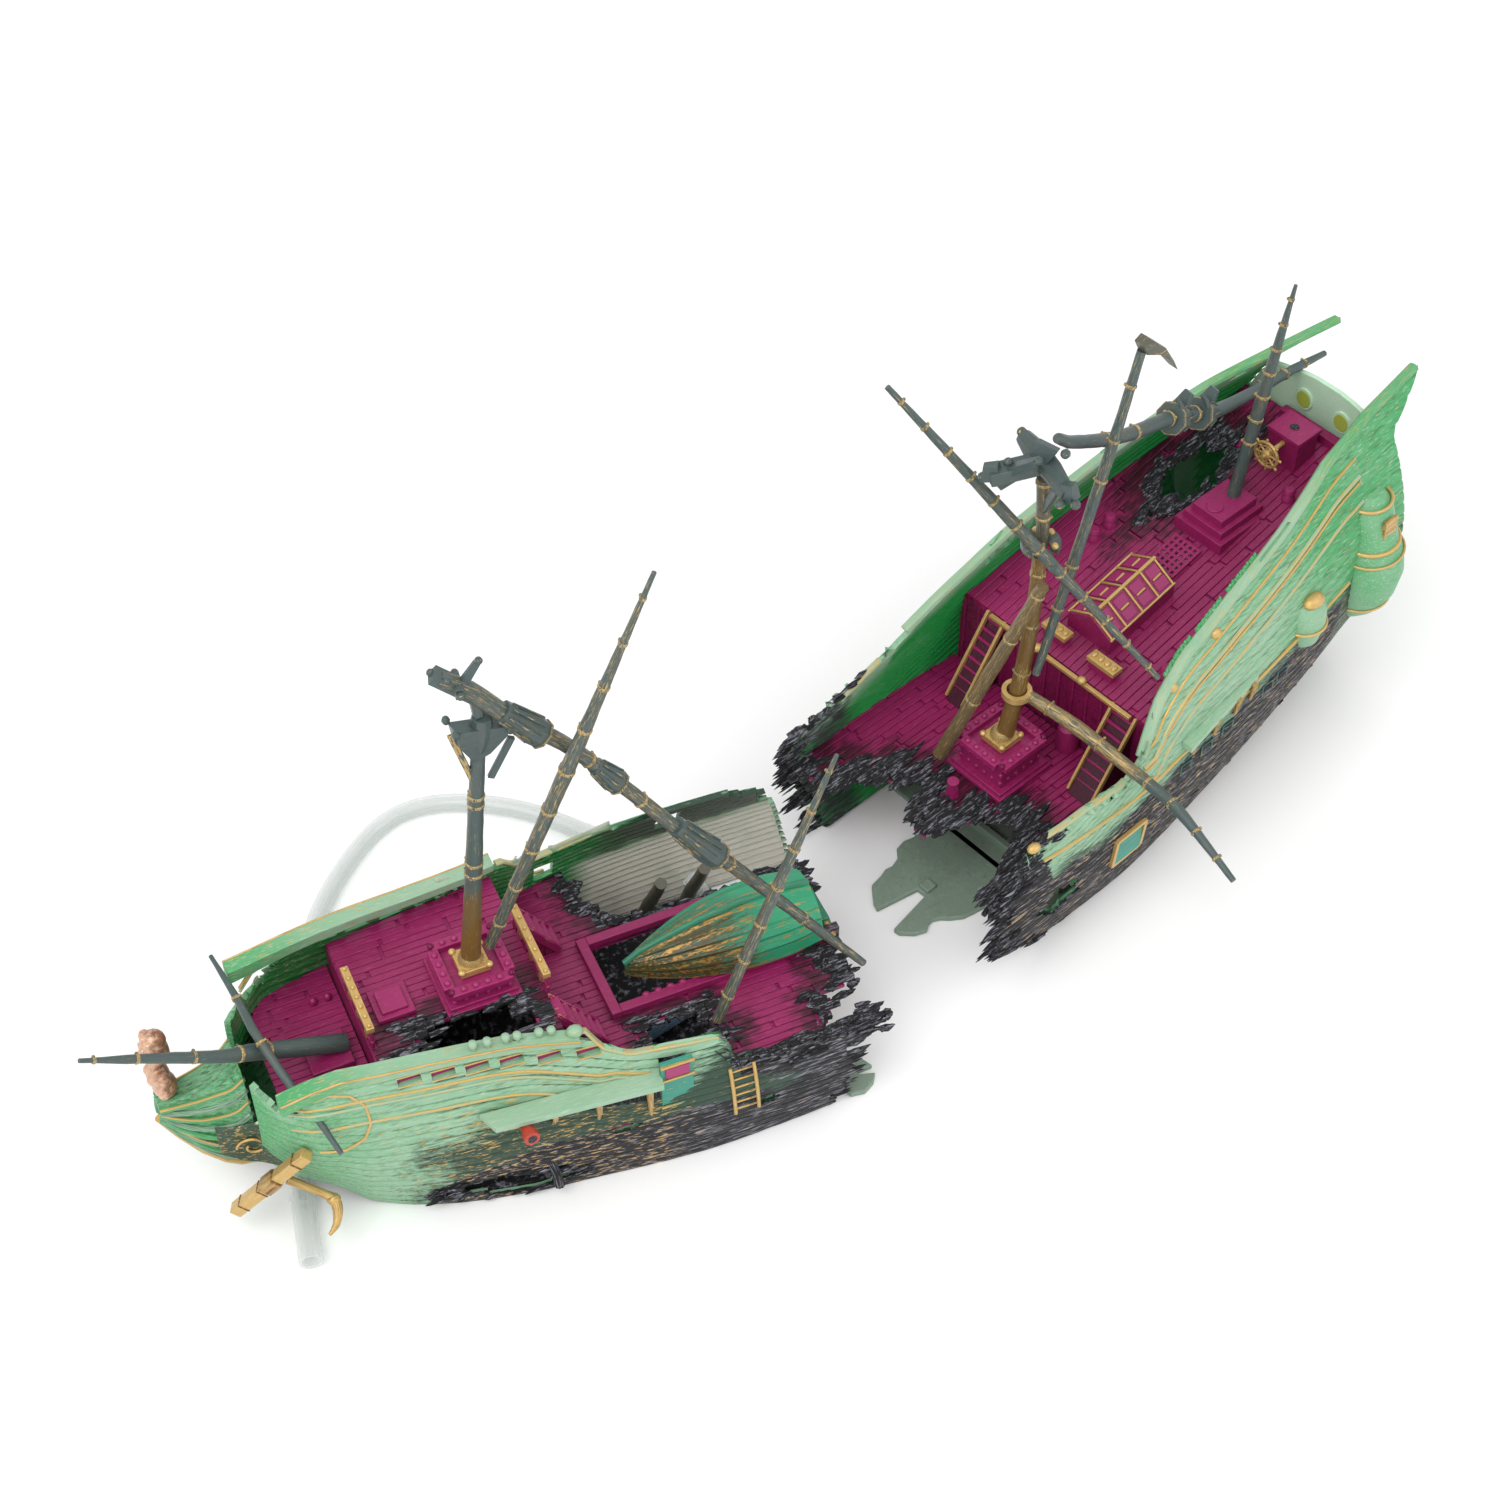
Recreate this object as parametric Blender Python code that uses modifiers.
"""A broken galleon for an aquarium, in two free-standing halves: a bow section that the air
line enters, with a fallen fore rig and a lifeboat lid over the hatch, and a stern section
with a fallen main rig, a mizzen mast and a helm wheel.

Each half has its own frame: x points to its bow, y to port, z up, with the mast foot at
x = y = 0 and the floor at z = 0. Lengths in this file are millimetres, scaled once by MM.
"""

import math

import bmesh
import bpy
from mathutils import Matrix, Vector

MM = 0.001

# Driving dimensions, in millimetres and degrees
BOW_YAW = 180.0             # the bow section points along world -X
STERN_YAW = 198.5           # the stern section lies at a slight angle behind it
STERN_PLACE = (147.9, 22.6, 0.0)
WALL = 1.6                  # hull wall
DECK_THICK = 2.0
GAP = 0.3                   # clearance between separate pieces
BASE_THICK = 1.6
WAIST_DECK = 28.0           # top of the low deck, both halves
FORECASTLE_DECK = 45.0
BEAK_DECK = 35.5
FORE_PEDESTAL = 52.0        # top of the foremast's box
MAIN_PEDESTAL = 39.0        # top of the mainmast's box
QUARTERDECK = 50.5          # height of the quarterdeck at its fore edge
QUARTERDECK_SLOPE = 0.238   # rise per millimetre towards the stern
QUARTERDECK_EDGE = -20.0
SHEET_DEPTH = 1.4           # depth of a mast foot in its well
TUBE_RADIUS = 2.38          # rigid air tube, 3/16 inch
SLEEVE_RADIUS = 3.1
INLET_X = -70.0             # where the air line enters the starboard side
INLET_Z = 4.7
BOAT_HINGE = (-85.6, 2.5, 31.0)
WHEEL_CENTRE = (-92.6, 0.0, 76.6)
WELD = 1e-6                 # metres, joins a curve's caps to its sides

# Hull offsets: x, keel height, keel half breadth, wale half breadth, rail height, rail half breadth
WALE = 22.0
BOW_OFFSETS = (
    (-100, 0.0, 36.3, 38.3, 39.5, 32.6), (-70, 0.0, 37.0, 39.0, 39.5, 34.2),
    (-45, 0.0, 37.0, 38.4, 39.8, 34.4), (-28, 0.0, 35.3, 36.4, 41.0, 32.0),
    (-14, 0.0, 33.3, 34.0, 46.0, 28.4), (0, 0.0, 31.3, 31.7, 51.0, 25.5),
    (20, 0.0, 26.0, 28.5, 53.0, 23.4), (35, 1.0, 19.0, 25.0, 54.4, 21.7),
    (41, 5.4, 15.6, 22.6, 54.2, 20.4), (46, 6.8, 12.4, 20.0, 54.0, 19.2),
    (52, 9.5, 8.6, 14.5, 52.0, 14.0), (58, 14.0, 3.6, 6.2, 50.0, 5.4),
)
STERN_OFFSETS = (
    (48, 0.0, 31.0, 36.5, 40.5, 33.2), (30, 0.0, 31.2, 37.0, 41.5, 34.0),
    (10, 0.0, 31.4, 37.4, 46.0, 34.8), (-15, 0.0, 31.2, 36.6, 60.0, 32.6),
    (-30, 0.0, 29.6, 35.4, 69.5, 30.2), (-50, 0.0, 26.4, 33.6, 76.0, 27.8),
    (-70, 0.0, 22.4, 31.0, 82.0, 25.0), (-90, 0.6, 17.0, 27.5, 88.5, 20.4),
    (-110, 4.0, 11.0, 22.5, 90.5, 16.6), (-134, 14.0, 7.0, 17.5, 91.0, 13.0),
)

COLOURS = {
    "hull": ((0.29, 0.72, 0.42), 0.0, 0.45),
    "deck": ((0.32, 0.01, 0.11), 0.0, 0.42),
    "base": ((0.20, 0.26, 0.20), 0.0, 0.55),
    "spar": ((0.06, 0.10, 0.10), 0.0, 0.50),
    "gold": ((0.60, 0.40, 0.12), 0.6, 0.40),
    "figure": ((0.55, 0.30, 0.18), 0.5, 0.45),
    "boat": ((0.05, 0.33, 0.20), 0.0, 0.50),
    "transom": ((0.62, 0.78, 0.62), 0.0, 0.30),
    "clear": ((0.85, 0.88, 0.86), 0.0, 0.10),
    "stone": ((0.30, 0.42, 0.55), 0.0, 0.90),
    "pin": ((0.55, 0.50, 0.40), 0.8, 0.35),
}


# ---------------------------------------------------------------- scene and small helpers

def clear_scene():
    for obj in list(bpy.data.objects):
        bpy.data.objects.remove(obj, do_unlink=True)


def new_collection(name):
    collection = bpy.data.collections.new(name)
    bpy.context.scene.collection.children.link(collection)
    return collection


def make_materials():
    made = {}
    for name, (colour, metallic, roughness) in COLOURS.items():
        material = bpy.data.materials.new(name)
        material.use_nodes = True
        shader = material.node_tree.nodes["Principled BSDF"]
        shader.inputs["Base Color"].default_value = (*colour, 1.0)
        shader.inputs["Metallic"].default_value = metallic
        shader.inputs["Roughness"].default_value = roughness
        made[name] = material
    return made


def frame_empty(name, place, yaw=0.0, parent=None):
    empty = bpy.data.objects.new(name, None)
    PARTS.objects.link(empty)
    empty.location = Vector(place) * MM
    empty.rotation_euler = (0.0, 0.0, math.radians(yaw))
    empty.parent = parent
    return empty


def add_object(name, data, look, frame, place=(0.0, 0.0, 0.0)):
    """A part with its origin at place, given in its section's frame."""
    obj = bpy.data.objects.new(name, data)
    data.materials.append(MATERIALS[look])
    PARTS.objects.link(obj)
    obj.parent = frame
    obj.location = Vector(place) * MM
    return obj


def mesh_from(verts, faces, name="shape"):
    mesh = bpy.data.meshes.new(name)
    mesh.from_pydata([Vector(v) * MM for v in verts], [], faces)
    mesh.update()
    return mesh


def outward(mesh):
    """Turns a closed mesh's faces outwards."""
    bm = bmesh.new()
    bm.from_mesh(mesh)
    bmesh.ops.recalc_face_normals(bm, faces=bm.faces)
    bm.to_mesh(mesh)
    bm.free()
    return mesh


def evaluated_mesh(obj):
    bpy.context.view_layer.update()
    graph = bpy.context.evaluated_depsgraph_get()
    return bpy.data.meshes.new_from_object(obj.evaluated_get(graph))


def curve_mesh(obj):
    """The closed mesh of a curve object, with its caps welded on; the object is removed."""
    mesh = evaluated_mesh(obj)
    bpy.data.objects.remove(obj, do_unlink=True)
    bm = bmesh.new()
    bm.from_mesh(mesh)
    bmesh.ops.remove_doubles(bm, verts=bm.verts, dist=WELD)
    bmesh.ops.recalc_face_normals(bm, faces=bm.faces)
    bm.to_mesh(mesh)
    bm.free()
    return mesh


def baked(obj):
    """Applies an object's modifiers to its mesh."""
    mesh = evaluated_mesh(obj)
    obj.modifiers.clear()
    obj.data = mesh
    return obj


def combine(obj, tools, operation):
    """Joins or cuts obj with closed meshes given in obj's own space, then removes the tools."""
    for mesh in tools:
        tool = bpy.data.objects.new("tool", mesh)
        CUTTERS.objects.link(tool)
        tool.hide_render = True
        tool.display_type = "WIRE"
        tool.matrix_world = obj.matrix_world
        modifier = obj.modifiers.new(operation.lower(), "BOOLEAN")
        modifier.operation = operation
        modifier.object = tool
        tool.parent = obj.parent
        tool.location = obj.location
        tool.rotation_euler = obj.rotation_euler
        tool.matrix_parent_inverse = obj.matrix_parent_inverse
        baked(obj)
        bpy.data.objects.remove(tool, do_unlink=True)
    return obj


def smooth(obj, angle=38.0):
    if obj.type == "MESH":
        obj.data.shade_smooth()
        obj.data.set_sharp_from_angle(angle=math.radians(angle))
    return obj


# ---------------------------------------------------------------- shapes, all in millimetres

def plate(outline, low, high):
    """A closed plate from a flat outline of (x, y) points: a filled 2D curve with a depth."""
    curve = bpy.data.curves.new("outline", "CURVE")
    curve.dimensions = "2D"
    curve.fill_mode = "BOTH"
    curve.extrude = 0.5 * (high - low) * MM
    spline = curve.splines.new("POLY")
    spline.points.add(len(outline) - 1)
    for point, (x, y) in zip(spline.points, outline):
        point.co = (x * MM, y * MM, 0.0, 1.0)
    spline.use_cyclic_u = True
    obj = bpy.data.objects.new("outline", curve)
    PARTS.objects.link(obj)
    mesh = curve_mesh(obj)
    mesh.transform(Matrix.Translation((0.0, 0.0, 0.5 * (low + high) * MM)))
    return mesh


def prism(outline, z_low, z_high):
    return plate(outline, z_low, z_high)


def sloped_prism(outline, z_low, z_high):
    """A closed prism over an (x, y) outline, its lower and upper faces given as functions of x."""
    lower = [(x, y, z_low(x)) for x, y in outline]
    upper = [(x, y, z_high(x)) for x, y in outline]
    return loft([lower, upper])


def side_prism(outline, y_low, y_high):
    """A closed prism over an outline of (x, z) points, between two y planes."""
    mesh = plate(outline, -y_high, -y_low)
    mesh.transform(Matrix.Rotation(math.radians(90.0), 4, "X"))
    return mesh


def cross_prism(outline, x_low, x_high):
    """A closed prism over an outline of (y, z) points, between two x planes."""
    mesh = plate(outline, x_low, x_high)
    mesh.transform(Matrix(((0, 0, 1, 0), (1, 0, 0, 0), (0, 1, 0, 0), (0, 0, 0, 1))))
    return mesh


def box(low, high):
    """A box between two corners."""
    bm = bmesh.new()
    bmesh.ops.create_cube(bm, size=1.0)
    low, high = Vector(low), Vector(high)
    bmesh.ops.scale(bm, vec=(high - low) * MM, verts=bm.verts)
    bmesh.ops.translate(bm, vec=(low + high) * 0.5 * MM, verts=bm.verts)
    mesh = bpy.data.meshes.new("box")
    bm.to_mesh(mesh)
    bm.free()
    return mesh


def loft(rings, name="loft"):
    """A closed solid through rings of equal point counts, with a flat cap at each end."""
    count = len(rings[0])
    verts = [point for ring in rings for point in ring]
    faces = [tuple(range(count)), tuple(range((len(rings) - 1) * count, len(rings) * count))[::-1]]
    for r in range(len(rings) - 1):
        for i in range(count):
            j = (i + 1) % count
            a = r * count
            faces.append((a + i, a + j, a + count + j, a + count + i))
    return outward(mesh_from(verts, faces, name))


def rod(name, points, radii, look, frame, pivot=(0.0, 0.0, 0.0), bevel=2):
    """A spar, wire or tube along points, with a radius at each, as a curve with filled caps."""
    curve = bpy.data.curves.new(name, "CURVE")
    curve.dimensions = "3D"
    curve.bevel_depth = MM
    curve.bevel_resolution = bevel
    curve.use_fill_caps = True
    spline = curve.splines.new("POLY")
    spline.points.add(len(points) - 1)
    for point, place, radius in zip(spline.points, points, radii):
        local = (Vector(place) - Vector(pivot)) * MM
        point.co = (*local, 1.0)
        point.radius = radius
    return add_object(name, curve, look, frame, pivot)


def rod_mesh(points, radii, bevel=2):
    """The same shape as a closed mesh, for joining."""
    return curve_mesh(rod("rod_source", points, radii, "spar", None))


def between(a, b, count):
    """count points from a to b, both ends included."""
    a, b = Vector(a), Vector(b)
    return [a.lerp(b, i / (count - 1)) for i in range(count)]


def taper(start, middle, end, count):
    """count radii that swell from start to middle and fall to end."""
    radii = []
    for i in range(count):
        t = 2.0 * i / (count - 1)
        radii.append(start + (middle - start) * t if t < 1 else middle + (end - middle) * (t - 1))
    return radii


# ---------------------------------------------------------------- hull form

def offset_at(table, x, column):
    """A column of the offsets at x, by a cubic through the neighbouring stations."""
    rows = sorted(table)
    xs = [row[0] for row in rows]
    x = min(max(x, xs[0]), xs[-1])
    k = max(i for i in range(len(xs) - 1) if xs[i] <= x)
    values = [row[column] for row in rows]

    def slope(i):
        a, b = max(i - 1, 0), min(i + 1, len(xs) - 1)
        return (values[b] - values[a]) / (xs[b] - xs[a])

    width = xs[k + 1] - xs[k]
    t = (x - xs[k]) / width
    h00 = 2 * t**3 - 3 * t**2 + 1
    h10 = t**3 - 2 * t**2 + t
    h01 = -2 * t**3 + 3 * t**2
    h11 = t**3 - t**2
    ends = h00 * values[k] + h01 * values[k + 1]
    return ends + width * (h10 * slope(k) + h11 * slope(k + 1))


def half_breadth(table, x, z):
    """Outer half breadth of the hull at x and height z: a parabola through keel, wale and rail."""
    keel_z, keel_y, wale_y, rail_z, rail_y = (offset_at(table, x, c) for c in range(1, 6))
    keel_part = (z - WALE) * (z - rail_z) / ((keel_z - WALE) * (keel_z - rail_z))
    wale_part = (z - keel_z) * (z - rail_z) / ((WALE - keel_z) * (WALE - rail_z))
    rail_part = (z - keel_z) * (z - WALE) / ((rail_z - keel_z) * (rail_z - WALE))
    return keel_y * keel_part + wale_y * wale_part + rail_y * rail_part


def inner_breadth(table, x, z, clearance=GAP + 0.25):
    """Half breadth inside the wall, less a clearance."""
    step = 0.5
    along = (half_breadth(table, x + step, z) - half_breadth(table, x - step, z)) / (2 * step)
    up = (half_breadth(table, x, z + step) - half_breadth(table, x, z - step)) / (2 * step)
    slant = math.sqrt(1 + along * along + up * up)
    return half_breadth(table, x, z) - (WALL + clearance) * slant


def ragged(t, reach):
    """A splintered edge: a few sharp teeth of the given reach along t from 0 to 1."""
    return reach * (abs(math.sin(9.7 * t + 0.6)) - 0.5 * abs(math.sin(23.0 * t)))


def hull_side(name, table, side, fore_x, break_x, top_z, frame, stations, levels=9):
    """One side of the hull as a lofted sheet with a solid wall. break_x gives the x of the
    broken end for a height share from 0 to 1, top_z the height of the upper edge at x."""
    verts = []
    for i in range(stations + 1):
        share = i / stations
        for k in range(levels):
            t = k / (levels - 1)
            x = fore_x(t) + (break_x(t) - fore_x(t)) * share
            low = offset_at(table, x, 1)
            z = low + t * (top_z(x) - low)
            verts.append((x, side * half_breadth(table, x, z), z))
    faces = []
    for i in range(stations):
        for k in range(levels - 1):
            a = i * levels + k
            face = (a, a + levels, a + levels + 1, a + 1)
            faces.append(face if side > 0 else face[::-1])
    obj = add_object(name, mesh_from(verts, faces, name), "hull", frame)
    outer = obj.data.polygons[len(faces) // 2].normal.y * side
    shell = obj.modifiers.new("wall", "SOLIDIFY")
    shell.thickness = WALL * MM
    shell.offset = -1.0 if outer > 0 else 1.0
    shell.use_even_offset = True
    return baked(obj)


def steps(pairs):
    """A broken line through (x, value) pairs, as a function of x."""
    ordered = sorted(pairs)

    def value(x):
        if x <= ordered[0][0]:
            return ordered[0][1]
        for (xa, va), (xb, vb) in zip(ordered, ordered[1:]):
            if x <= xb:
                return va + (vb - va) * (x - xa) / (xb - xa)
        return ordered[-1][1]

    return value


def inside_outline(table, z, x_from, x_to, count=12, clearance=GAP + 0.25):
    """Outline of a flat piece that fills the hull between two stations."""
    xs = [x_from + (x_to - x_from) * i / (count - 1) for i in range(count)]
    height = z if callable(z) else (lambda x: z)
    port = [(x, inner_breadth(table, x, height(x), clearance)) for x in xs]
    starboard = [(x, -y) for x, y in reversed(port)]
    return port + starboard


# ---------------------------------------------------------------- bow section

def bow_hull(side, name):
    port = side > 0
    rail = steps([(-14, 48.0), (0, 51.0), (20, 53.0), (35, 54.4), (39, 54.2)])
    low_rail = 31.0 if port else 39.5

    def top(x):
        if x > 39:
            if port:
                return steps([(39, 54.2), (43, 53.0), (45.5, 50.6), (47.5, 46.4), (49.5, 43.2), (52, 43.0),
                              (56, 47.0)])(x)
            return steps([(39, 54.2), (41.5, 44.0), (43.5, 40.8), (47, 41.0), (52, 43.0), (56, 47.0)])(x)
        if x > -14:
            return rail(x)
        if x > -46:
            return steps([(-46, 39.8), (-26, 40.8), (-20, 44.0), (-16.5, 50.0), (-14, 48.0)])(x)
        return steps([(-90, low_rail - 1.0), (-50, low_rail), (-46, 39.8)])(x)

    def broken(t):
        if port:
            return -76.0 - 11.5 * t**1.2 - ragged(t, 2.0)
        return -94.0 + 9.0 * t**2 - ragged(t, 2.0)

    obj = hull_side(name, BOW_OFFSETS, side, lambda t: 56.0, broken, top, BOW, 34)
    combine(obj, [bow_rail_bar(side)], "UNION")
    yard_hole = rod_mesh([(47.2, 14.5, 46.8), (44.8, 20.5, 43.8), (42.2, 30.5, 40.6)], [1.6, 1.6, 1.6])
    cuts = [ragged_side_hole(4.0 if port else -56.0, 6.0 if port else 14.0, 30.0, 8.0, side), yard_hole]
    if not port:
        cuts = [inlet_hole()]
    combine(obj, cuts, "DIFFERENCE")
    if port:
        combine(obj, [port_channel()], "UNION")
    return obj


def bow_rail_bar(side):
    """The forecastle's cap rail, which runs on past the hull to a free fore end."""
    rings = []
    for x, height, thick in ((-15, 49.6, 2.4), (0, 51.8, 2.6), (20, 53.6, 2.8), (38, 54.4, 3.2),
                             (52, 52.4, 4.0)):
        y = half_breadth(BOW_OFFSETS, min(x, 38), rail_height(x)) - WALL / 2
        y = y if x <= 38 else y - 0.4
        ring = [(x, side * (y + dy), height + dz)
                for dy, dz in ((-1.9, 0), (1.9, 0), (1.9, -thick), (-1.9, -thick))]
        rings.append(ring)
    return loft(rings)


def rail_height(x):
    return offset_at(BOW_OFFSETS, min(x, 38), 4)


def ragged_side_hole(x_mid, z_mid, length, height, side):
    """A cutter for a splintered hole through one side of the hull."""
    outline = []
    for k in range(14):
        angle = math.tau * k / 14
        reach = 1.0 + 0.22 * math.sin(5 * angle + 1.0) + 0.12 * math.cos(9 * angle)
        x = x_mid + 0.5 * length * reach * math.cos(angle)
        z = max(z_mid + 0.5 * height * reach * math.sin(angle), 1.9)
        outline.append((x, z))
    y_near, y_far = sorted((side * 24.0, side * 44.0))
    return side_prism(outline, y_near, y_far)


def inlet_hole():
    """A round hole for the air inlet, low in the starboard side."""
    return rod_mesh([(INLET_X, -44, INLET_Z), (INLET_X, -30, INLET_Z)], [3.3, 3.3])


def port_channel():
    """The chain platform outside the port rail, on four knees."""
    outline = [(-32, 34.0), (-31, 39.0), (8, 34.5), (10, 28.8)]
    return prism(outline, 33.6, 35.6)


def bow_deck():
    """Beak platform, forecastle and waist deck, moulded in one piece."""
    table = BOW_OFFSETS
    castle = inside_outline(table, FORECASTLE_DECK, -14, 28)
    waist = inside_outline(table, WAIST_DECK, -89, -12, 16)
    beak = [(x, y * 0.985) for x, y in inside_outline(table, BEAK_DECK, 26, 50, 16)]
    obj = add_object("bow_deck", prism(castle, FORECASTLE_DECK - DECK_THICK, FORECASTLE_DECK), "deck", BOW)
    fore_y = min(inner_breadth(table, 28, z) for z in (BEAK_DECK, FORECASTLE_DECK)) - 0.6
    aft_y = min(inner_breadth(table, -12, z) for z in (WAIST_DECK, FORECASTLE_DECK)) - 0.2
    joined = [
        prism(waist, WAIST_DECK - DECK_THICK, WAIST_DECK),
        prism(beak, BEAK_DECK - DECK_THICK, BEAK_DECK),
        box((26.0, -fore_y, BEAK_DECK - 1.0), (28.0, fore_y, FORECASTLE_DECK - 0.5)),
        box((-14.0, -aft_y, WAIST_DECK - 1.0), (-12.0, aft_y, FORECASTLE_DECK - 0.5)),
        pedestal(9.0, 7.2, FORECASTLE_DECK - 0.5, FORE_PEDESTAL),
        box((-78.0, -12.0, WAIST_DECK - 1.0), (-29.0, 12.0, WAIST_DECK + 2.0)),
        box((15.0, -5.2, FORECASTLE_DECK - 0.5), (24.0, 4.0, FORECASTLE_DECK + 1.4)),
        gallows(28.4, 9.6, FORECASTLE_DECK, 52.4),
        gallows(-15.4 + 2.2, 11.0, FORECASTLE_DECK, 52.4),
        stair(-14.0, 11.5, 18.5),
        stair(-14.0, -18.5, -11.5),
    ]
    combine(obj, joined, "UNION")
    x, y, z = BOAT_HINGE
    lugs = [box((x - 2.0, y + s * 8.0 - 1.0, WAIST_DECK - 1.0), (x + 1.5, y + s * 8.0 + 1.0, z + 1.8))
            for s in (-1, 1)]
    combine(obj, lugs, "UNION")
    cuts = [
        box((-5.0, -5.0, FORE_PEDESTAL - SHEET_DEPTH - 0.6), (5.0, 5.0, FORE_PEDESTAL + 1.0)),
        box((-75.5, -9.5, WAIST_DECK - 5.0), (-31.5, 9.5, WAIST_DECK + 5.0)),
        ragged_deck_hole(5.0, 13.8, 26.0, 12.0, 40.0, 50.0, 0.3),
        ragged_deck_hole(-42.5, 22.5, 14.0, 12.0, 24.0, 32.0, 0.1),
        starboard_break(),
        deck_end_break(),
        rod_mesh([(x, y - 12.0, z), (x, y + 12.0, z)], [1.1, 1.1]),
    ]
    return combine(obj, cuts, "DIFFERENCE")


def pedestal(base_half, top_half, z_low, z_high):
    """The stepped box that holds a mast foot."""
    rings = []
    for half, z in ((base_half, z_low), (base_half, z_low + 1.6), (top_half + 0.6, z_low + 1.8),
                    (top_half, z_high)):
        rings.append([(half, half, z), (-half, half, z), (-half, -half, z), (half, -half, z)])
    return loft(rings)


def gallows(x, half, z_deck, z_top):
    """A rail bar across the deck on two posts."""
    height = z_top - z_deck
    outline = [
        (-half, z_deck - 0.5), (-half + 1.6, z_deck - 0.5), (-half + 1.6, z_top - 2.0),
        (half - 1.6, z_top - 2.0), (half - 1.6, z_deck - 0.5), (half, z_deck - 0.5),
        (half, z_deck + height), (-half, z_deck + height),
    ]
    return cross_prism(outline, x - 2.1, x - 0.2)


def stair(x_top, y_low, y_high, rise=17.0, run=11.0):
    """A closed flight of five steps, going down towards the stern."""
    z_top = WAIST_DECK + rise
    outline = [(x_top + 1.0, WAIST_DECK - 0.8), (x_top + 1.0, z_top - 0.6)]
    count = 5
    for k in range(count):
        z = z_top - 0.6 - (rise - 0.6) * k / count
        outline.append((x_top - run * k / count, z) if k else (x_top, z))
        outline.append((x_top - run * (k + 1) / count, z) if k else (x_top - run / count, z))
    outline.append((x_top - run, WAIST_DECK - 0.8))
    return side_prism(outline, y_low, y_high)


def ragged_deck_hole(x_mid, y_mid, length, width, z_low, z_high, phase):
    """A cutter for a burnt hole through a deck."""
    outline = []
    for k in range(16):
        angle = math.tau * k / 16
        reach = 1.0 + 0.16 * math.sin(5 * angle + phase) + 0.08 * math.cos(8 * angle)
        outline.append((x_mid + 0.5 * length * reach * math.cos(angle),
                        y_mid + 0.5 * width * reach * math.sin(angle)))
    return prism(outline, z_low, z_high)


def starboard_break():
    """Cutter for the part of the waist deck that is gone to starboard."""
    outline = [(-34, -45), (-36, -24), (-39, -17), (-46, -13.4), (-60, -13.0), (-72, -12.6), (-80, -14),
               (-100, -10), (-100, -45)]
    return prism(outline, WAIST_DECK - 6.0, WAIST_DECK + 6.0)


def deck_end_break():
    """Cutter that leaves the waist deck's aft end in splinters."""
    outline = [(-100, 45), (-73, 45), (-76, 30.5), (-79.5, 27.5), (-78, 25.0), (-86.2, 23), (-88.5, 19.5),
               (-81, 16.5), (-88.5, 12), (-88.5, -6), (-82, -9), (-88.5, -12), (-100, -12)]
    return prism(outline, WAIST_DECK - 6.0, WAIST_DECK + 6.0)


def bow_base():
    """The flat weight plate in the bottom, with a slit lobe beyond the port side's broken end."""
    outline = inside_outline(BOW_OFFSETS, 0.8, -74, 36, 10)
    obj = add_object("bow_base_plate", prism(outline, 0.0, BASE_THICK), "base", BOW)
    lobe = [(-72, 22), (-72, 34.0), (-79.6, 34.0), (-79.8, 37.2), (-83, 37.6), (-87.6, 33.6), (-83.5, 32.2),
            (-83.5, 31.4), (-87.9, 31.6), (-86.5, 28.6), (-80, 27)]
    return combine(obj, [prism(lobe, 0.0, BASE_THICK)], "UNION")


def beakhead():
    """The knee and beak in front of the hull, from the forefoot up to the figurehead's seat."""
    rings = []
    stations = ((56.5, 6.5, 46.6, 7.6, 5.0), (59.5, 7.6, 43.8, 6.4, 4.6), (63.0, 10.5, 42.8, 5.2, 4.0),
                (67.5, 16.5, 41.8, 4.0, 3.4), (72.0, 25.0, 41.0, 2.9, 2.8), (75.5, 33.0, 39.8, 2.0, 2.2))
    for x, low, high, middle_half, half in stations:
        middle = 0.5 * low + 0.5 * high
        rings.append([
            (x, 0.9, low), (x, middle_half, middle), (x, half, high - 1.2), (x, half - 0.8, high),
            (x, -half + 0.8, high), (x, -half, high - 1.2), (x, -middle_half, middle), (x, -0.9, low),
        ])
    obj = add_object("beakhead", loft(rings), "hull", BOW)
    return obj


def figurehead():
    """A plain bust: shoulders, neck and head as one turned form, leaning forward."""
    lean = Vector((0.02, 0.0, 1.0)).normalized()
    base = Vector((73.4, -0.9, 41.4))
    profile = ((0.0, 2.6, 3.0), (2.5, 3.2, 4.2), (6.0, 3.3, 4.9), (9.5, 2.6, 4.4), (12.0, 1.5, 1.7),
               (13.6, 1.7, 1.8), (16.0, 2.9, 2.7), (18.5, 3.1, 2.9), (21.0, 2.5, 2.3), (22.6, 1.2, 1.1))
    rings = []
    for height, depth, width in profile:
        centre = base + lean * height
        rings.append([
            (centre.x + depth * math.cos(a), centre.y + width * math.sin(a), centre.z)
            for a in (math.tau * k / 12 for k in range(12))
        ])
    return smooth(add_object("figurehead", loft(rings), "figure", BOW))


def bowsprit():
    points = (between((31.9, 0.5, 38.4), (53.5, 2.6, 49.3), 4)
              + between((60.0, 3.9, 53.2), (89.3, 6.6, 71.5), 4))
    return smooth(rod("bowsprit", points, [2.2, 2.2, 2.1, 2.0, 1.5, 1.3, 1.0, 0.5], "spar", BOW, bevel=3))


def spritsail_yard():
    points = [(53.9, -24.0, 53.0), (52.0, -10.0, 53.0), (50.9, 1.5, 52.5), (47.2, 14.5, 46.8),
              (44.8, 20.5, 43.8), (42.2, 30.5, 40.6)]
    return smooth(rod("spritsail_yard", points, [0.5, 0.9, 1.1, 1.0, 0.9, 0.6], "spar", BOW))


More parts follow.
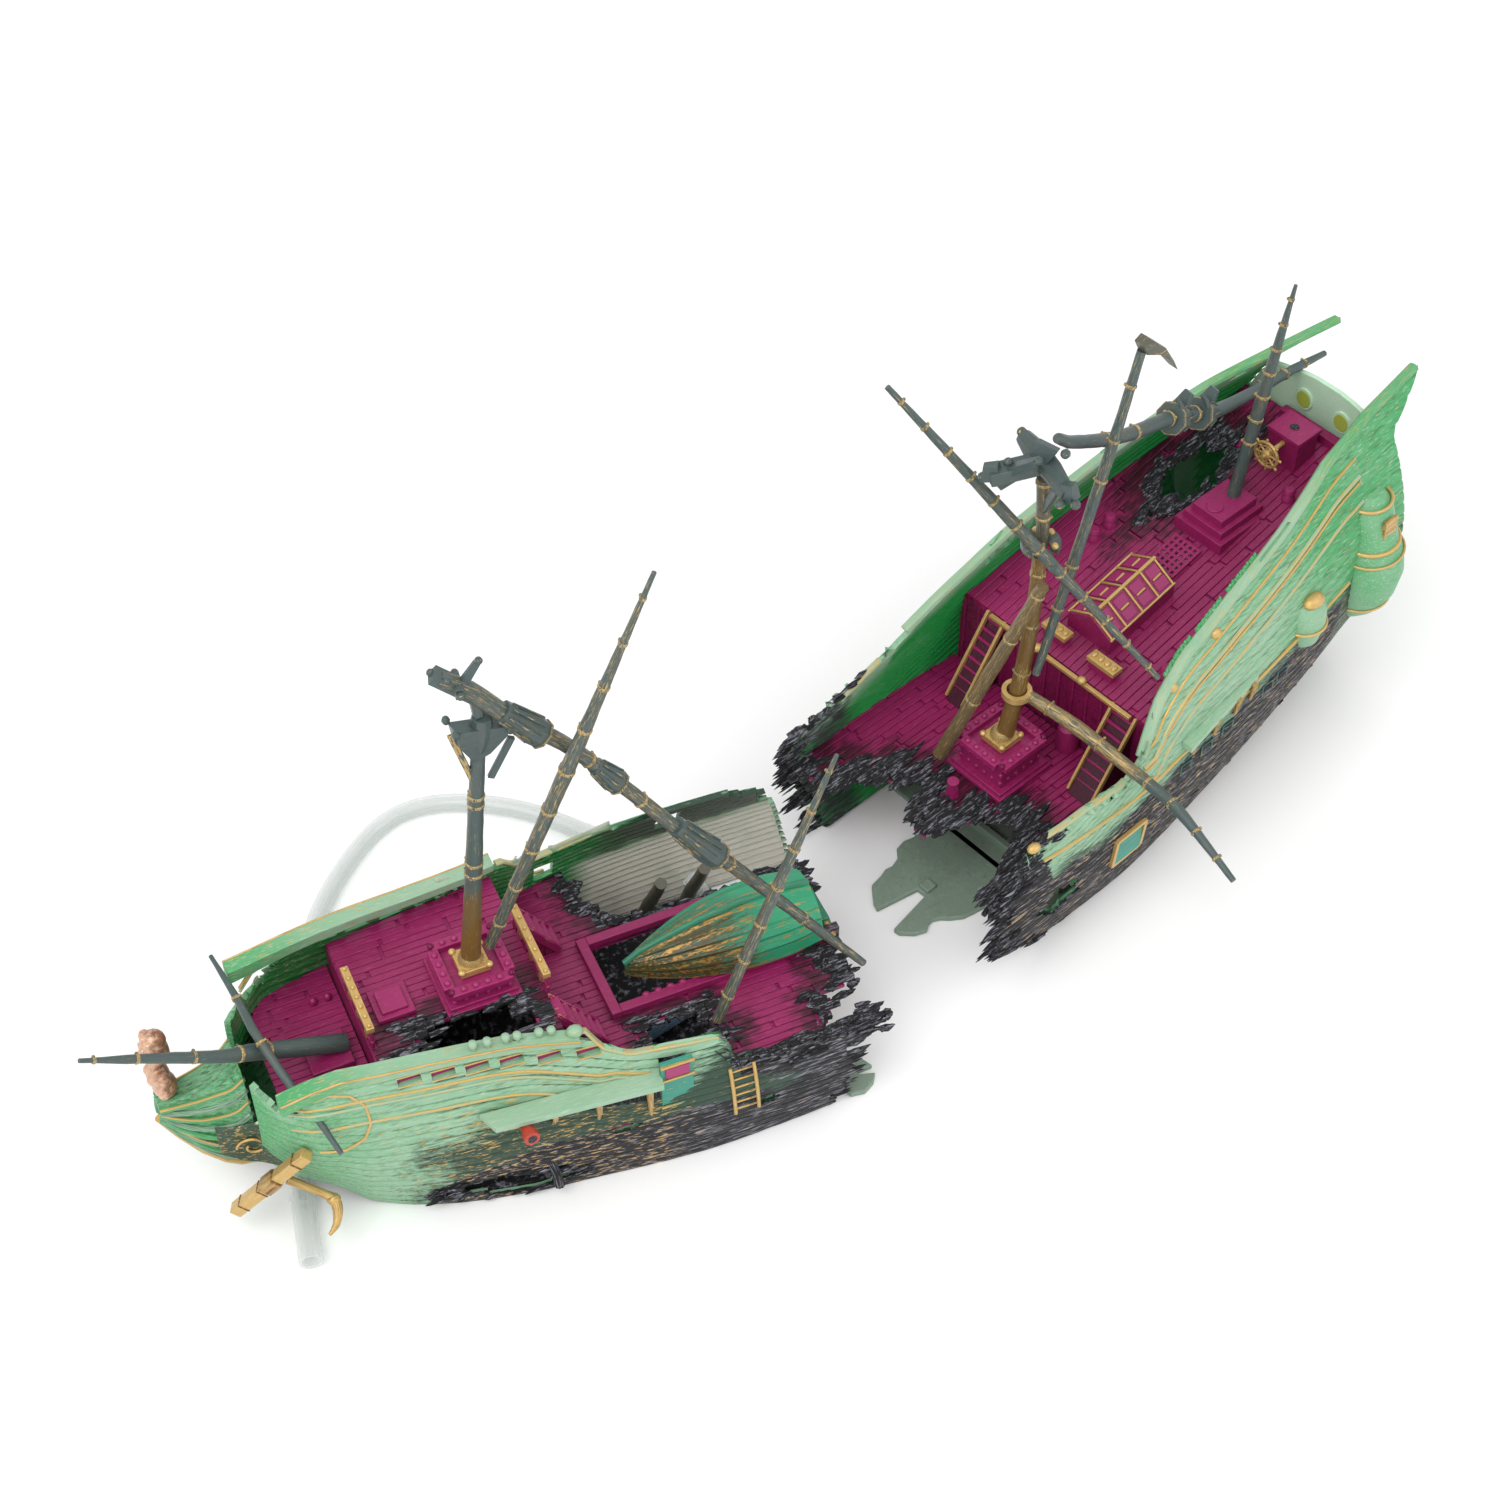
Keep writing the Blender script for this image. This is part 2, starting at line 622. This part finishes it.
def anchor():
    """Shank and one visible arm of the anchor, hanging at the port bow."""
    points = [(53.0, 16.6, 17.6), (49.5, 18.6, 15.4), (46.0, 20.8, 13.2), (44.5, 22.4, 12.4),
              (44.4, 24.6, 11.0), (45.8, 27.0, 9.2), (48.0, 28.4, 8.2)]
    return smooth(rod("anchor", points, [1.1, 1.0, 1.0, 1.3, 1.3, 1.0, 0.4], "gold", BOW))


def anchor_stock():
    """The squared wooden bar across the anchor's ring."""
    a, b = Vector((48.5, 22.6, 33.4)), Vector((65.6, 13.8, 8.9))
    along = (b - a).normalized()
    side = along.cross(Vector((0, 0, 1))).normalized()
    up = side.cross(along)
    rings = []
    for t, half in ((0.0, 1.3), (0.5, 1.8), (1.0, 1.2)):
        centre = a.lerp(b, t)
        rings.append([tuple(centre + side * (half * s) + up * (half * u))
                      for s, u in ((1, 1), (-1, 1), (-1, -1), (1, -1))])
    return add_object("anchor_stock", loft(rings), "gold", BOW)


def hull_ribs():
    """Two frames left standing inside the starboard break."""
    for name, x in (("hull_rib_fore", -55.0), ("hull_rib_aft", -66.5)):
        points = [(x, -21.0, 28.5), (x, -25.0, 20.0), (x + 0.8, -29.0, 11.0), (x + 1.8, -31.5, 2.4)]
        smooth(rod(name, points, [1.5, 1.6, 1.7, 1.7], "spar", BOW))


def air_parts():
    """Air inlet through the starboard side, and the diffuser under the hatch."""
    inlet = [(INLET_X, -40.6, INLET_Z), (INLET_X, -24, INLET_Z), (INLET_X, -14, INLET_Z),
             (INLET_X + 2, -9.0, INLET_Z + 0.4), (INLET_X + 6, -5.5, INLET_Z + 0.6),
             (INLET_X + 9.2, -4.0, INLET_Z + 0.6)]
    smooth(rod("air_inlet", inlet, [TUBE_RADIUS] * 6, "clear", BOW))
    stone = [(-60.0, -3.6, 5.5), (-59.0, -3.2, 5.5), (-40.0, 2.0, 5.5), (-39.0, 2.3, 5.5)]
    smooth(rod("air_diffuser", stone, [2.4, 3.4, 3.4, 2.4], "stone", BOW, bevel=4))


def tube_route():
    """The air tube's centre line: straight out of the hull, round the bow on the floor, and
    under the beak to its sleeve."""
    low = TUBE_RADIUS + 0.02
    return (
        (-70.0, -41.0, INLET_Z), (-70.0, -45.0, 4.4), (-68.0, -49.6, 3.3), (-63.6, -53.8, low),
        (-57.8, -58.2, low), (-52.0, -63.4, low), (-46.5, -70.2, low), (-40.6, -76.7, low),
        (-34.0, -82.0, low), (-25.5, -87.0, low), (-17.2, -89.7, low), (-9.2, -89.8, low),
        (-1.2, -86.8, low), (7.4, -80.4, low), (15.9, -72.0, low),
        (22.8, -63.0, low), (29.0, -52.0, low), (34.8, -38.8, low), (40.2, -24.0, low), (44.9, -8.6, low),
        (47.8, 2.4, low), (49.7, 11.4, low),
    )


def smooth_route(route, spacing):
    """Points at even spacing along a smooth curve through the route."""
    points = [Vector(p) for p in route]
    points = [2 * points[0] - points[1]] + points + [2 * points[-1] - points[-2]]
    dense = []
    for a, b, c, d in zip(points, points[1:], points[2:], points[3:]):
        for k in range(24):
            t = k / 24
            dense.append(0.5 * ((2 * b) + (c - a) * t + (2 * a - 5 * b + 4 * c - d) * t**2
                                + (3 * b - a - 3 * c + d) * t**3))
    dense.append(points[-2])
    even, walked = [dense[0]], 0.0
    for before, after in zip(dense, dense[1:]):
        walked += (after - before).length
        if walked >= spacing:
            even.append(after)
            walked = 0.0
    if (dense[-1] - even[-1]).length < 0.5 * spacing:
        even.pop()
    return even + [dense[-1]]


def air_tube():
    points = smooth_route(tube_route(), 5.5)
    smooth(rod("air_tube", points, [TUBE_RADIUS] * len(points), "clear", BOW))
    a = Vector(tube_route()[-1])
    along = (a - Vector(tube_route()[-2])).normalized()
    sleeve_low = SLEEVE_RADIUS + 0.02
    start = Vector((a.x, a.y, sleeve_low)) + along * GAP
    points = [start, start + along * 1.4, start + along * 2.0, start + along * 19.0]
    smooth(rod("tube_sleeve", points, [SLEEVE_RADIUS, SLEEVE_RADIUS, SLEEVE_RADIUS - 0.25,
                                       SLEEVE_RADIUS - 0.25], "clear", BOW, bevel=3))


# ---------------------------------------------------------------- fore rig and lifeboat

def square_foot(name, frame, pivot, top, half=3.6):
    """A mast's square foot, loose in its well."""
    outline = [(half, half), (-half, half), (-half, -half), (half, -half)]
    low = top - SHEET_DEPTH
    obj = add_object(name, prism(outline, low - pivot[2], top + 0.6 - pivot[2]), "gold", frame, pivot)
    return obj


def cup(name, points, radii, look, frame, pivot):
    """A masthead cap: a squat collar with a flared top, bored to pass its spar."""
    return add_object(name, curve_mesh(rod(name, points, radii, look, frame, pivot)), look, frame, pivot)


def bored(obj, points, radius, pivot):
    """Bores a hole along points through a part."""
    local = [Vector(p) - Vector(pivot) for p in points]
    return combine(obj, [rod_mesh(local, [radius] * len(local))], "DIFFERENCE")


def fore_rig():
    pivot = FORE_PIVOT
    square_foot("foremast_foot", BOW, pivot, FORE_PEDESTAL)
    mast = [(0, 0, FORE_PEDESTAL + 1.1), (-2.0, 0, 72.0), (-4.6, 0, 98.0), (-7.0, 0, 121.0)]
    smooth(rod("foremast", mast, [2.3, 2.1, 1.8, 1.6], "spar", BOW, pivot, bevel=3))
    cap = [(-7.05, 0.0, 121.3), (-7.8, 0.1, 125.2), (-8.2, 0.2, 130.2)]
    smooth(rod("foremast_cap", cap, [2.4, 3.3, 2.2], "spar", BOW, pivot))
    topmast = [(-0.8, -1.9, 143.2), (-6.4, -0.4, 138.4), (-15.9, 2.1, 127.0), (-26.7, 5.1, 116.4),
               (-46.9, 10.6, 87.6), (-60.6, 14.3, 69.8), (-75.0, 18.2, 49.6), (-88.9, 22.1, 30.4)]
    smooth(rod("fore_topmast", topmast, [1.6, 2.4, 1.9, 1.8, 1.7, 1.7, 1.3, 0.9], "spar", BOW, pivot))
    for name, a, b, centre_radius in (("fore_top", (-13.4, 1.4, 130.0), (-20.0, 3.2, 122.8), 3.4),
                                      ("topmast_cap", (-49.6, 11.3, 84.0), (-54.6, 12.7, 77.4), 3.3)):
        obj = cup(name, [a, Vector(a).lerp(Vector(b), 0.6), b], [2.9, centre_radius, centre_radius], "spar",
                  BOW, pivot)
        long_a = Vector(a) + (Vector(a) - Vector(b))
        long_b = Vector(b) - (Vector(a) - Vector(b))
        smooth(bored(obj, [long_a, long_b], 2.25, pivot))
    yard = between((-4.4, 1.2, 56.4), (-42.0, 15.4, 172.6), 7)
    smooth(rod("fore_yard", yard, taper(1.3, 1.9, 0.6, 7), "spar", BOW, pivot))
    yard = between((-49.8, 25.4, 33.2), (-81.0, 20.2, 106.0), 6)
    smooth(rod("fore_topsail_yard", yard, taper(1.2, 1.6, 0.6, 6), "spar", BOW, pivot))


def boat_share(t):
    """Share of the lifeboat's full breadth, from its transom (0) to its nose (1)."""
    along = min(max((t - 0.3) / 0.7, 0.0), 1.0)
    return max(math.cos(0.5 * math.pi * along), 0.0) ** 0.75 * (0.9 + 0.1 * min(t / 0.2, 1.0)) + 0.02


def boat_rings(wall):
    """Arched rings of the upturned hull, drawn in by a wall thickness, about the hinge."""
    x0, x1, centre_y, rim = -83.2, -36.0, 2.5, 30.8
    length = x1 - x0 - (6.5 if wall else 0.0)
    rings = []
    for i in range(13):
        t = i / 12
        share = boat_share(t)
        half = max(10.6 * share - wall, 0.2)
        swell = 0.86 + 0.14 * math.sin(math.pi * min(t + 0.2, 1.0))
        crown = 12.0 * swell * math.sqrt(0.12 + 0.88 * share)
        crown = max(crown - wall, 0.6)
        x = x0 + wall + length * t
        low = rim - (1.0 if wall else 0.0)
        ring = []
        for k in range(9):
            a = math.pi * k / 8
            place = (x, centre_y + half * math.cos(a), low + crown * math.sin(a) ** 0.8)
            ring.append(tuple(Vector(place) - Vector(BOAT_HINGE)))
        rings.append(ring)
    return rings


def lifeboat():
    """The upturned lifeboat over the hatch: a hollow lid that pivots at its transom."""
    obj = add_object("lifeboat", loft(boat_rings(0.0)), "boat", BOW, BOAT_HINGE)
    combine(obj, [loft(boat_rings(1.3))], "DIFFERENCE")
    tongue = box((-1.9, -5.5, -1.7), (3.6, 5.5, 1.9))
    combine(obj, [tongue], "UNION")
    combine(obj, [rod_mesh([(0, -9, 0), (0, 9, 0)], [1.1, 1.1])], "DIFFERENCE")
    smooth(obj, 30)
    x, y, z = BOAT_HINGE
    rod("boat_hinge_pin", [(x, y - 9.6, z), (x, y + 9.6, z)], [0.8, 0.8], "pin", BOW)


# ---------------------------------------------------------------- stern section

def stern_top(side):
    """Height of a side's upper edge: to port the quarterdeck rail sweeps down early, and to
    starboard it runs on to a flared end."""
    aft = [(-134, 91.0), (-110, 90.5), (-90, 88.5), (-70, 82.0), (-50, 76.0), (-30, 69.5)]
    sweep = [(-24, 65.6), (-20, 62.4), (-16.5, 58.0), (-14, 54.0), (-12, 50.6), (-9, 47.6), (-4, 46.4),
             (8, 46.0)]
    flare = [(-18, 63.5), (-6, 60.0), (3.5, 56.0), (5.0, 54.8), (6.5, 48.2)]
    return steps(aft + (sweep if side > 0 else flare) + [(19, 44.6), (30, 41.8), (48, 40.5)])


def stern_hull(side, name):
    port = side > 0

    def broken(t):
        if port:
            rise = 29.0 * math.sin(math.pi * min(t / 0.62, 1.0) / 2)
            return 9.0 + rise - 9.0 * max(t - 0.62, 0.0) / 0.38 + ragged(t, 2.0)
        return 33.0 + 8.0 * t + ragged(t, 3.0)

    def aft(t):
        return -116.0 - 17.5 * (max(t - 0.78, 0.0) / 0.22) ** 1.5

    obj = hull_side(name, STERN_OFFSETS, side, broken, aft, stern_top(side), STERN, 36, 10)
    combine(obj, [quarter_gallery(side)], "UNION")
    if port:
        combine(obj, [side_prism([(-8, 19), (-13, 26), (-6, 29), (-2, 22)], 28, 44)], "DIFFERENCE")
        combine(obj, [ragged_side_hole(16.0, 22.0, 13.0, 9.0, 1)], "DIFFERENCE")
    return obj


def quarter_gallery(side):
    """The round side gallery below the aft rail."""
    rings = []
    sizes = ((34.0, 3.2), (38.0, 5.6), (44.0, 7.4), (51.0, 8.0), (57.0, 7.4), (61.0, 5.9), (66.0, 5.4),
             (71.0, 5.2), (74.0, 3.0))
    for z, bulge in sizes:
        centre_x = -104.0
        y_in = half_breadth(STERN_OFFSETS, centre_x, z) - 1.4
        ring = []
        for k in range(10):
            a = math.pi * k / 9 - math.pi / 2
            ring.append((centre_x + 1.25 * bulge * math.sin(a), side * (y_in + 1.15 * bulge * math.cos(a)),
                         z))
        rings.append(ring)
    return loft(rings)


def transom():
    """The stern plate between the two sides, with a rounded upper edge and oval lights."""
    def outline(x):
        points = []
        for z in (12.0, 25.0, 40.0, 55.0, 70.0, 79.0):
            points.append((inner_breadth(STERN_OFFSETS, x, z) - 0.3, z))
        points.append((inner_breadth(STERN_OFFSETS, x, 83.0) - 2.0, 84.2))
        points.append((7.0, 86.0))
        return points + [(-y, z) for y, z in reversed(points)]

    x = -114.4
    rings = [[(x + dx, y, z) for y, z in outline(x)] for dx in (0.0, -1.4)]
    obj = add_object("transom", loft(rings), "transom", STERN)
    holes = []
    for y in (-6.2, 6.2):
        holes.append(rod_mesh([(x + 3, y, 78.5), (x - 4, y, 78.5)], [2.4, 2.4]))
    return combine(obj, holes, "DIFFERENCE")


def quarterdeck_height(x):
    return QUARTERDECK + QUARTERDECK_SLOPE * (QUARTERDECK_EDGE - x)


def stern_deck():
    """Waist deck, break bulkhead and sloping quarterdeck, moulded in one piece."""
    table = STERN_OFFSETS
    quarter = inside_outline(table, quarterdeck_height, -113.6, QUARTERDECK_EDGE, 16)
    obj = add_object("stern_deck", sloped_prism(quarter, lambda x: quarterdeck_height(x) - DECK_THICK,
                                                quarterdeck_height), "deck", STERN)
    waist = inside_outline(table, WAIST_DECK, QUARTERDECK_EDGE - 2.0, 44.0, 10)
    wall_y = min(inner_breadth(table, QUARTERDECK_EDGE - 1, WAIST_DECK),
                 inner_breadth(table, QUARTERDECK_EDGE - 1, 49)) - 0.2
    x = QUARTERDECK_EDGE
    deck = quarterdeck_height
    grating = [(-66.0, -4.6), (-66.0, 3.4), (-56.0, 3.4), (-56.0, -4.6)]
    joined = [
        prism(waist, WAIST_DECK - DECK_THICK, WAIST_DECK),
        box((x - 2.0, -wall_y, WAIST_DECK - 1.0), (x, wall_y, QUARTERDECK - 0.5)),
        pedestal(9.4, 7.4, WAIST_DECK - 0.5, MAIN_PEDESTAL),
        skylight(),
        stepped_block(-78.0, 13.0, 9.5, deck(-69.0) - 1.5, 70.0),
        box((-107.0, -4.8, deck(-103.0) - 1.5), (-99.0, 4.8, 79.6)),
        box((-113.4, -10.5, deck(-111.0) - 1.0), (-110.4, 10.5, deck(-111.0) + 2.6)),
        ladder(-25.6, -19.4),
        ladder(17.4, 25.6),
        sloped_prism(grating, lambda s: deck(s) - 0.8, lambda s: deck(s) + 1.0),
        box((-27.0, -10.5, 51.0), (-23.4, -2.5, 55.2)),
        box((-27.0, 5.0, 51.0), (-23.4, 14.0, 55.2)),
        rod_mesh([(-17.5, 7.0, WAIST_DECK - 0.5), (-17.5, 7.0, 34.5), (-17.5, 7.0, 36.5)], [3.0, 3.0, 1.4]),
        rod_mesh([(15.6, -1.0, WAIST_DECK - 0.5), (15.6, -1.0, 33.0)], [1.8, 1.5]),
    ]
    for px, py in ((-53.0, -20.5), (-58.5, -20.4), (-92.5, 9.0), (-50.0, 21.5), (-34.0, 22.0)):
        z = deck(px)
        joined.append(rod_mesh([(px, py, z - 0.6), (px, py, z + 1.6), (px, py, z + 3.0)], [1.7, 1.2, 1.6]))
    combine(obj, joined, "UNION")
    cuts = [
        box((-5.0, -5.0, MAIN_PEDESTAL - SHEET_DEPTH - 0.6), (5.0, 5.0, MAIN_PEDESTAL + 1.0)),
        ragged_deck_hole(-84.5, -15.5, 25.0, 13.0, 50.0, 90.0, 1.2),
        stern_deck_break(),
        rod_mesh([(-74.2, 0, 66.0), (-74.2, 0, 72.0)], [1.7, 1.7]),
        rod_mesh([(-81.0, 0, 67.4), (-81.0, 0, 72.0)], [2.4, 2.4]),
        rod_mesh([(-103.0, 0, 76.0), (-103.0, 0, 82.0)], [1.2, 1.2]),
        rod_mesh([(-110.0, 0.0, WHEEL_CENTRE[2]), (-96.0, 0.0, WHEEL_CENTRE[2])], [1.05, 1.05]),
    ]
    return combine(obj, cuts, "DIFFERENCE")


def skylight():
    """The hipped skylight on the quarterdeck."""
    deck = quarterdeck_height
    rings = []
    for x, half_low, half_high, rise in ((-29.4, 7.6, 6.6, 6.0), (-29.8, 7.6, 6.6, 6.0),
                                         (-52.2, 7.6, 6.6, 6.0), (-52.6, 7.6, 6.6, 6.0)):
        z = deck(x)
        rings.append([(x, half_low, z - 1.0), (x, half_low, z + rise - 1.4), (x, 0.0, z + rise + 2.6),
                      (x, -half_low, z + rise - 1.4), (x, -half_low, z - 1.0)])
    return loft(rings)


def stepped_block(x, long, wide, z_low, z_high):
    """The mizzen's stepped block."""
    rings = []
    for grow, z in ((3.0, z_low), (3.0, z_high - 4.6), (1.6, z_high - 4.5), (1.6, z_high - 2.4),
                    (0.2, z_high - 2.3), (0.0, z_high)):
        a, b = long / 2 + grow, wide / 2 + grow
        rings.append([(x + a, b, z), (x - a, b, z), (x - a, -b, z), (x + a, -b, z)])
    return loft(rings)


def ladder(y_low, y_high):
    """A steep flight from the waist to the quarterdeck, with its two cheeks."""
    x_top, x_foot, z_top = QUARTERDECK_EDGE - 1.0, -6.5, QUARTERDECK - 0.8
    outline = [(x_top, WAIST_DECK - 0.8), (x_top, z_top)]
    count = 6
    for k in range(count):
        share = k / count
        z = z_top - (z_top - WAIST_DECK) * share
        outline.append((x_top + 1.2 + (x_foot - x_top - 1.2) * share, z) if k else (x_top + 1.2, z))
        outline.append((x_top + 1.2 + (x_foot - x_top - 1.2) * (share + 1 / count), z))
    outline.append((x_foot, WAIST_DECK - 0.8))
    return side_prism(outline, y_low, y_high)


def stern_deck_break():
    """Cutter that leaves the stern's waist deck in splinters, with a prong amidships."""
    outline = [(60, -45), (37, -45), (36.5, -34), (41.5, -31), (38, -27), (40.5, -24), (31, -21.5),
               (27.5, -16.5), (20.5, -12.0), (17.5, -6.5), (22.0, -3.6), (27.5, -2.2), (31.2, 0.6),
               (30.4, 4.6), (25.5, 5.0), (22.0, 7.0), (15.5, 9.0),
               (11.8, 13.5), (13.0, 20.5), (22.5, 24.5), (29.5, 28.0), (36.0, 31.5), (38.5, 45), (60, 45)]
    return prism(outline, WAIST_DECK - 6.0, WAIST_DECK + 7.0)


def stern_base():
    """The flat weight plate, with a slotted tongue that reaches out of the broken end."""
    outline = inside_outline(STERN_OFFSETS, 0.8, -100, 8.0, 10)
    obj = add_object("stern_base_plate", prism(outline, 0.0, BASE_THICK), "base", STERN)
    tongue = [(6, -24), (12, -15.5), (16, -12.6), (22, -12.8), (27, -9.4), (31.5, -9.0), (35.2, -8.4),
              (37.2, -6.0), (39.6, -1.8), (27.4, 0.4), (27.4, 3.2), (41.0, 5.6), (40.4, 7.4),
              (38.0, 10.2), (35.0, 11.4), (31.5, 10.0), (28.0, 12.6), (22.0, 15.2),
              (14.5, 16.4), (6, 18)]
    combine(obj, [prism(tongue, 0.0, BASE_THICK)], "UNION")
    combine(obj, [box((0.6, -26.0, 1.0), (2.6, 26.0, 4.0)), box((23.6, 0.2, 1.0), (26.9, 3.4, 2.8))],
            "UNION")
    return obj


def mizzenmast():
    points = [(-81.0, 0, 68.4), (-83.6, 0, 83.0), (-86.4, 0, 99.0), (-89.2, 0, 115.0), (-92.1, 0, 131.5)]
    return smooth(rod("mizzenmast", points, [1.7, 1.6, 1.7, 1.2, 0.5], "spar", STERN))


def helm():
    """The helm's axle, fixed in its box, and the six-spoked wheel that turns on it."""
    x, y, z = WHEEL_CENTRE
    smooth(rod("helm_axle", [(x - 9.0, y, z), (x + 1.6, y, z)], [0.7, 0.7], "gold", STERN))
    major, minor, spokes = 3.6, 0.42, 6
    wheel = add_object("helm_wheel", ring_mesh(major, minor), "gold", STERN, WHEEL_CENTRE)
    tools = [rod_mesh([(-0.8, 0, 0), (0.8, 0, 0)], [1.5, 1.5])]
    for k in range(spokes):
        angle = math.tau * (k + 0.12) / spokes
        tip = (0.0, 4.9 * math.cos(angle), 4.9 * math.sin(angle))
        start = (0.0, 1.0 * math.cos(angle), 1.0 * math.sin(angle))
        tools.append(rod_mesh([start, tip], [0.38, 0.38]))
    combine(wheel, tools, "UNION")
    combine(wheel, [rod_mesh([(-3, 0, 0), (3, 0, 0)], [0.95, 0.95])], "DIFFERENCE")
    return smooth(wheel)


def ring_mesh(major, minor):
    """A ring about the x axis."""
    bpy.ops.mesh.primitive_torus_add(major_segments=24, minor_segments=8, major_radius=major * MM,
                                     minor_radius=minor * MM)
    source = bpy.context.object
    mesh = source.data
    bpy.data.objects.remove(source, do_unlink=True)
    mesh.transform(Matrix.Rotation(math.radians(90.0), 4, "Y"))
    return mesh


# ---------------------------------------------------------------- main rig

def main_rig():
    pivot = MAIN_PIVOT
    square_foot("mainmast_foot", STERN, pivot, MAIN_PEDESTAL)
    mast = [(-0.6, 0.6, MAIN_PEDESTAL + 1.3), (-3.6, 1.4, 60.0), (-6.0, 1.0, 80.0), (-7.4, 0, 97.0)]
    smooth(rod("mainmast", mast, [2.1, 2.0, 1.8, 1.7], "spar", STERN, pivot, bevel=3))
    head = [(-7.5, 0, 97.3), (-7.4, 0, 106.0), (-6.2, 0, 122.5)]
    smooth(rod("main_masthead", head, [1.5, 1.6, 1.9], "spar", STERN, pivot))
    yard_ring = Vector((-2.7, 1.16, 54.0))
    main_yard(pivot, yard_ring)
    topsail_yard(pivot)
    cap = [(-0.6, 10.5, 126.4), (-3.4, 2.6, 126.6), (-5.2, -4.0, 126.8), (-6.4, -9.5, 127.4)]
    smooth(rod("main_cap", [(x - 2.0, y, z) for x, y, z in cap], [2.2, 3.0, 3.4, 2.2], "spar", STERN,
               pivot))
    topmast = [(-9.2, 0.2, 132.6), (-16.5, -0.6, 126.6), (-35.4, -2.5, 115.6), (-59.7, -4.9, 106.0),
               (-76.0, -6.5, 96.6), (-94.5, -8.4, 91.0), (-112.0, -9.6, 87.6), (-125.5, -10.2, 84.8)]
    smooth(rod("main_topmast", topmast, [1.3, 1.5, 1.6, 1.9, 1.9, 1.5, 1.2, 0.8], "spar", STERN, pivot))
    for name, x_a, x_b in (("topmast_top", -58.0, -63.4), ("topmast_crosstree", -70.0, -74.6)):
        a, b = on_line(topmast, x_a), on_line(topmast, x_b)
        obj = cup(name, [a, b], [3.6, 4.3], "spar", STERN, pivot)
        smooth(bored(obj, [a + (a - b), b - (a - b)], 2.35, pivot))
    broken = between((9.6, -11.0, 31.6), (-2.6, 6.4, 95.6), 5)
    smooth(rod("broken_spar", [p + Vector((1.2, 0.6, 0.0)) for p in broken], [1.8, 1.8, 1.8, 1.7, 1.5],
               "spar", STERN, pivot))
    gaff = [(-4.2, 5.4, 62.6), (-12.6, 5.2, 90.0), (-21.4, 4.9, 118.4), (-30.4, 4.6, 150.4)]
    tip = [(-31.4, 4.6, 151.6), (-36.5, 4.7, 146.4), (-41.2, 4.8, 139.6)]
    smooth(rod("gaff", gaff + tip, [0.9, 1.3, 1.4, 1.1, 1.6, 2.0, 0.7], "spar", STERN, pivot))


def on_line(points, x):
    """The point at x on a broken line that runs towards -x."""
    for a, b in zip(points, points[1:]):
        a, b = Vector(a), Vector(b)
        if b.x <= x <= a.x:
            return a.lerp(b, (x - a.x) / (b.x - a.x))
    return Vector(points[-1])


def main_yard(pivot, ring_centre):
    """The fallen main yard, hooked round the mast by its ring and lying over the port rail."""
    points = [(-4.4, 4.0, 53.4), (-6.6, 18.0, 51.8), (-7.6, 33.0, 50.0), (-7.7, 44.5, 49.2),
              (-7.0, 53.0, 48.4), (-4.6, 71.8, 43.0)]
    arm = rod("main_yard", points, [1.6, 1.8, 1.7, 1.5, 1.3, 0.7], "spar", STERN, pivot)
    obj = add_object("main_yard", curve_mesh(arm), "spar", STERN, pivot)
    local = ring_centre - Vector(pivot)
    collar = [(local.x, local.y, local.z - 1.2), (local.x, local.y, local.z + 1.2)]
    combine(obj, [rod_mesh(collar, [3.7, 3.7])], "UNION")
    bore = [(local.x + 0.9, local.y - 0.2, local.z - 6.0), (local.x - 0.9, local.y + 0.2, local.z + 6.0)]
    return smooth(combine(obj, [rod_mesh(bore, [2.5, 2.5])], "DIFFERENCE"))


def topsail_yard(pivot):
    """The yard that fell across the top, with the open collar that holds it to the mast."""
    points = between((-20.6, 28.6, 67.4), (12.2, -34.0, 137.6), 8)
    shift = Vector((2.5, 2.8, 4.2))
    arm = rod("main_topsail_yard", [p + shift for p in points], taper(0.8, 1.7, 0.8, 8), "spar", STERN,
              pivot)
    return smooth(arm)


def main_top(pivot):
    """The horseshoe collar and its arm at the head of the lower mast."""
    centre = Vector((-7.35, 0.0, 100.6)) - Vector(pivot)
    rings = []
    for k in range(13):
        a = math.radians(104 + 280 * k / 12)
        c, s = math.cos(a), math.sin(a)
        rings.append([
            tuple(centre + Vector(((3.6 + dr) * c, (3.6 + dr) * s, dz)))
            for dr, dz in ((1.2, 1.1), (-1.2, 1.1), (-1.2, -1.1), (1.2, -1.1))
        ])
    return smooth(add_object("main_top", loft(rings), "gold", STERN, pivot))


# ---------------------------------------------------------------- assembly

def build():
    bow_hull(1, "bow_hull_port")
    bow_hull(-1, "bow_hull_starboard")
    bow_deck()
    bow_base()
    beakhead()
    figurehead()
    bowsprit()
    spritsail_yard()
    anchor()
    anchor_stock()
    hull_ribs()
    air_parts()
    air_tube()
    fore_rig()
    lifeboat()
    stern_hull(1, "stern_hull_port")
    stern_hull(-1, "stern_hull_starboard")
    transom()
    stern_deck()
    stern_base()
    mizzenmast()
    helm()
    main_rig()
    main_top(MAIN_PIVOT)


clear_scene()
PARTS = new_collection("shipwreck_ornament")
CUTTERS = new_collection("cutters")
MATERIALS = make_materials()
BOW = frame_empty("bow_frame", (0.0, 0.0, 0.0), BOW_YAW)
STERN = frame_empty("stern_frame", STERN_PLACE, STERN_YAW)
FORE_PIVOT = (0.0, 0.0, FORE_PEDESTAL - SHEET_DEPTH)
MAIN_PIVOT = (0.0, 0.0, MAIN_PEDESTAL - SHEET_DEPTH)
bpy.context.view_layer.update()
build()
